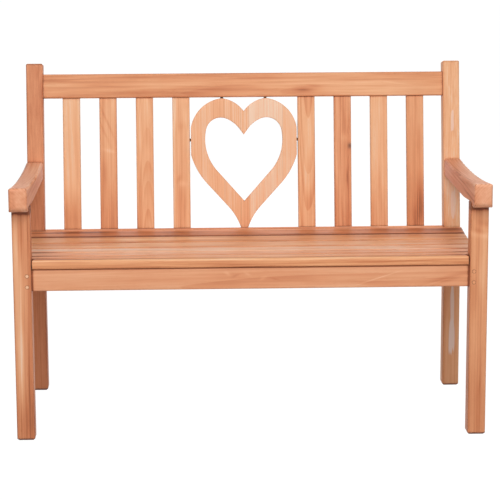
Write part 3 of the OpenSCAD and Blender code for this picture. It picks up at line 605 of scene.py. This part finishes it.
# The second mark of the first slat is a painted shadow of the left arm.
dress("back_slat_1", SLAT, Board(dark=0.20, streaks=0.5, marks=[
    PAINTED_SHADE_LOW_DOWN, (-0.15, -0.006, 0.06, 0.04, 0, 0.24), (0.05, 0.014, 0.3, 0.007, 0, 0.08)]))
dress("back_slat_2", SLAT, Board(dark=0.42, pith=(0.10, -0.03), marks=[
    PAINTED_SHADE_LOW_DOWN, (0.115, -0.003, 0.045, 0.003, -22, 0.20), (0.085, -0.010, 0.035, 0.003, -22, 0.14),
    (0.035, 0.002, 0.005, 0.014, 15, -0.16), (-0.02, -0.012, 0.04, 0.008, 0, 0.12)]))
dress("back_slat_3", SLAT, Board(dark=0.32, ring=0.0045, pith=(0.008, -0.035), lean=(0.0, -0.06), marks=[
    PAINTED_SHADE_LOW_DOWN, (-0.02, 0.004, 0.020, 0.008, 10, 0.08)]))
dress("back_slat_4", SLAT, Board(dark=0.30, streaks=1.0, ring=0.004, pith=(0.06, -0.03), marks=[
    PAINTED_SHADE_LOW_DOWN, (0.10, 0.004, 0.012, 0.012, 0, 0.08), (-0.045, -0.006, 0.012, 0.006, 25, 0.14),
    (-0.058, 0.006, 0.008, 0.010, 10, -0.12), (0.16, 0.012, 0.025, 0.006, 0, 0.12),
    (-0.12, 0.008, 0.05, 0.003, 0, 0.10)]))
dress("back_slat_5", SLAT, Board(dark=0.32, pith=(0.006, -0.04), lean=(0.0, 0.035), late=0.24, marks=[
    PAINTED_SHADE_LOW_DOWN]))
dress("back_slat_6", SLAT, Board(dark=0.50, red=0.1, streaks=1.3, pith=(-0.08, -0.03),
                                 knots=[(0.043, 0.021, 0.013)], marks=[
    PAINTED_SHADE_LOW_DOWN, (-0.045, 0.012, 0.03, 0.0025, 0, 0.32), (-0.035, 0.003, 0.05, 0.002, 0, 0.18),
    (0.065, 0.006, 0.012, 0.012, 0, -0.15), (0.03, -0.008, 0.09, 0.003, 0, 0.12)]))
dress("back_slat_7", SLAT, Board(dark=0.31, streaks=0.7, pith=(0.08, -0.03), marks=[
    PAINTED_SHADE_LOW_DOWN, (-0.05, 0.001, 0.06, 0.0015, 0, 0.18), (0.02, -0.010, 0.2, 0.006, 0, -0.10)]))
# The second and third marks of the last slat are a painted shadow of the right arm.
dress("back_slat_8", SLAT, Board(dark=0.47, streaks=0.7, pith=(-0.08, -0.03), marks=[
    PAINTED_SHADE_LOW_DOWN, (-0.11, 0.017, 0.06, 0.010, 0, 0.30), (-0.15, 0.004, 0.05, 0.03, 0, 0.14),
    (0.05, 0.010, 0.05, 0.004, 0, 0.10)]))

# %% [markdown]
# ## Seat
#
# Seven slats lie across the bench, and the front one is short enough to fit between the
# legs. Where two slats meet, the front arris of the hinder one gets painted shade from the
# gap. Near the arms the gap ends get a painted shadow of the arms, and the seat a soft
# painted shade. The hindmost slat is the darkest, with painted shade at the back of the
# seat and a painted highlight on its back edge. The front slat has a painted highlight
# along its rounded front edge.

# %% Seat slats
# Painted shade from the gap, along the front arris of every slat but the front one.
PAINTED_GAP_SHADE = (0.0, -0.033, 3.0, 0.003, 0, 0.30)
# Painted shadow of the arms at the ends of the gaps, and below it painted shade of the arms on the seat.
PAINTED_ARM_SHADOW_AT_GAP_ENDS = [(-0.55, -0.031, 0.07, 0.006, 0, 0.8), (0.56, -0.031, 0.06, 0.006, 0, 0.6)]
ARM_SHADE = [(-0.43, 0.0, 0.09, 0.05, 0, 0.16), (0.54, 0.0, 0.05, 0.05, 0, 0.14)]
# Painted highlight along the back edge of the hindmost slat, and painted shade in the gap at its front.
PAINTED_LIGHT_AND_SHADE_AT_BACK = [(0.0, 0.028, 3.0, 0.006, 0, -0.30), (0.0, -0.034, 3.0, 0.004, 0, 0.5)]
# A darker top for the front slat, and a painted highlight along its rounded front edge.
FRONT_TOP_AND_PAINTED_HIGHLIGHT = [(0.0, 0.006, 3.0, 0.022, 0, 0.26), (0.0, -0.0265, 3.0, 0.0026, 0, -0.45)]
# The hindmost slat's high darkness is painted shade at the back of the seat.
SEAT = [(0.59, -0.2, FRONT_TOP_AND_PAINTED_HIGHLIGHT), (0.42, 0.2, PAINTED_ARM_SHADOW_AT_GAP_ENDS), (0.36, 0.4, PAINTED_ARM_SHADOW_AT_GAP_ENDS),
        (0.22, 0.3, PAINTED_ARM_SHADOW_AT_GAP_ENDS), (0.36, 0.1, ARM_SHADE), (0.46, -0.1, ARM_SHADE),
        (0.70, 0.2, ARM_SHADE + PAINTED_LIGHT_AND_SHADE_AT_BACK)]
for i, (dark, red, own_marks) in enumerate(SEAT, start=1):
    shared_marks = [PAINTED_GAP_SHADE] if i > 1 else []
    dress("seat_slat_%d" % i, FLAT, Board(dark=dark, red=red, streaks=1.3, marks=own_marks + shared_marks))

# %% [markdown]
# ## Pegs
#
# The tenons of the long rails and the side rails are locked by pegs of the same teak, sawn
# off flush, so their end grain shows as small discs. On the left leg the discs are paler
# than the post round them, on the right leg nearly as dark. Only a thin rim darkens, for wear
# and as painted shade, so the arris reaches in just over a millimetre.

# %% Pegs
LEFT_PEGS_PALER = (0.0, 0.6, 1.0, 0.3, 0, -0.38)
for name in ("front_rail_pegs", "lower_rail_pegs", "top_rail_pegs"):
    dress(name, PEG_FORWARD, Board(ring=0.003, dark=0.50, wear_and_shade_reach=0.0012, marks=[LEFT_PEGS_PALER]))
dress("side_rail_pegs", PEG_SIDEWAYS, Board(ring=0.003, dark=0.35, wear_and_shade_reach=0.0012))
print("dressed in teak:", len(dressed))

# %% [markdown]
# ## Dowels and screws
#
# Four dark dowels carry the heart: two into the rail above, two into the slats at its
# sides. Only a few millimetres of each show, so what matters is a deep brown with a little
# grain. The screws sit in their bores from below, and no picture shows them, so their brass
# is a guess. Turned brass is streaked by the lathe and dulled by air, which here is one
# noise for the tarnish and one for the turning.

# %% Dowels and screws
dowel = Finish(bpy.data.materials.new("dark_dowel"))
grain = dowel.noise(dowel.add("TexCoord", out=OBJECT_PLACE), (900, 900, 900), 3.0)
dowel.set(Base_Color=dowel.blend(grain.rises(0.3, 0.7), (0.055, 0.020, 0.011, 1), (0.15, 0.060, 0.032, 1)),
          Roughness=0.45 + grain * 0.3,
          Normal=dowel.add("Bump", {}, {"Strength": 0.3, "Distance": 0.0003, "Height": grain}))
brass = Finish(bpy.data.materials.new("seat_screw_metal"))
turned = brass.noise(brass.add("TexCoord", out=OBJECT_PLACE), (300, 300, 2500), 2.0)
tarnish = brass.noise(brass.add("TexCoord", out=OBJECT_PLACE), (90, 90, 90), 2.0).rises(0.35, 0.7)
brass.set(Base_Color=brass.blend(tarnish, (0.76, 0.56, 0.27, 1), (0.42, 0.27, 0.12, 1)), Metallic=1.0,
          Roughness=0.25 + turned * 0.15 + tarnish * 0.2,
          Normal=brass.add("Bump", {}, {"Strength": 0.25, "Distance": 0.0002, "Height": turned}))
for name, finish in (("heart_side_dowels", dowel), ("heart_top_dowels", dowel), ("seat_screws", brass)):
    nodes[name].data.materials.clear()
    nodes[name].data.materials.append(finish.material)
print("finishes:", dowel.material.name, "and", brass.material.name)

# %% [markdown]
# ## Studio
#
# A white room for a bench: a pale floor that keeps the shadow of the feet, an even white
# dome, and four softboxes. The picture could be made white by more light, but then the
# timber would bleach. Instead floor and dome answer "white" only to rays that come from
# the camera or from a gloss, and give the bench no more than a plain level of light.

# %% A floor that looks white
def shown_white(finish):
    """1 for rays that see the studio white (from the camera, a gloss or glass), 0 for its light."""
    paths = finish.add("LightPath").socket.node.outputs
    kinds = ("Camera", "Glossy", "Transmission")
    camera, glossy, through = (Wire(finish, paths["Is %s Ray" % kind]) for kind in kinds)
    return camera.math("MAXIMUM", glossy).math("MAXIMUM", through)


FLOOR_HALF = 40.0
FLOOR_SHOWN_WHITE = 0.92
floor_mesh = bpy.data.meshes.new("studio_floor")
floor_mesh.from_pydata([(x * FLOOR_HALF, y * FLOOR_HALF, 0) for x, y in ((-1, -1), (1, -1), (1, 1), (-1, 1))],
                       [], [(0, 1, 2, 3)])
floor = bpy.data.objects.new("studio_floor", floor_mesh)
floor.location.z = -0.0005
bpy.context.scene.collection.objects.link(floor)
pale = Finish(bpy.data.materials.new("pale_floor"))
pale.set(Base_Color=(0.55, 0.55, 0.55, 1), Roughness=0.9)
white = pale.add("Emission", {}, {"Color": (1, 1, 1, 1), "Strength": 1.1})
lit = Wire(pale, pale.surface.outputs[0])
shown = pale.add("MixShader", {}, {0: shown_white(pale) * FLOOR_SHOWN_WHITE, 1: lit, 2: white})
pale.put(pale.tree.nodes["Material Output"].inputs["Surface"], shown)
floor_mesh.materials.append(pale.material)
print("floor: %.0f m square" % (2 * FLOOR_HALF))

# %% [markdown]
# ## Dome and softboxes
#
# The light comes mostly from high in front, as the shade under the arms and the dark line
# under the seat show. A second box lower down lifts the faces that look at the camera. A
# weak one on the right lifts that side, and one behind lets the back be seen when the bench
# is walked round. That last one leaves no sheen, or the seat would look wet from the front.

# %% Dome and softboxes
DOME_LIGHT = 0.18
world = bpy.data.worlds.new("studio_dome")
bpy.context.scene.world = world
dome = Finish(world, "Background")
dome.set(Color=(1, 1, 1, 1), Strength=shown_white(dome) * (1.0 - DOME_LIGHT) + DOME_LIGHT)


def softbox(name, place, size, power, gloss=True):
    """A rectangular lamp that faces the middle of the bench. Without gloss it leaves no sheen."""
    light = bpy.data.lights.new(name, "AREA")
    light.shape = "RECTANGLE"
    light.size, light.size_y = size
    light.energy = power
    lamp = bpy.data.objects.new(name, light)
    bpy.context.scene.collection.objects.link(lamp)
    lamp.location = place
    lamp.rotation_euler = (Vector((0, 0.1, 0.5)) - lamp.location).to_track_quat("-Z", "Y").to_euler()
    lamp.visible_glossy = gloss
    print("%-9s %3.0f W at %s" % (name, power, place))


softbox("high_box", (-0.2, -2.6, 3.3), (2.4, 1.4), 62)
softbox("front_box", (-0.2, -3.4, 1.9), (2.6, 1.6), 40)
softbox("right_box", (3.0, -2.0, 2.2), (1.4, 1.4), 10)
softbox("back_box", (0.3, 3.6, 1.9), (2.8, 1.6), 70, gloss=False)

bpy.context.scene.view_settings.view_transform = "Standard"
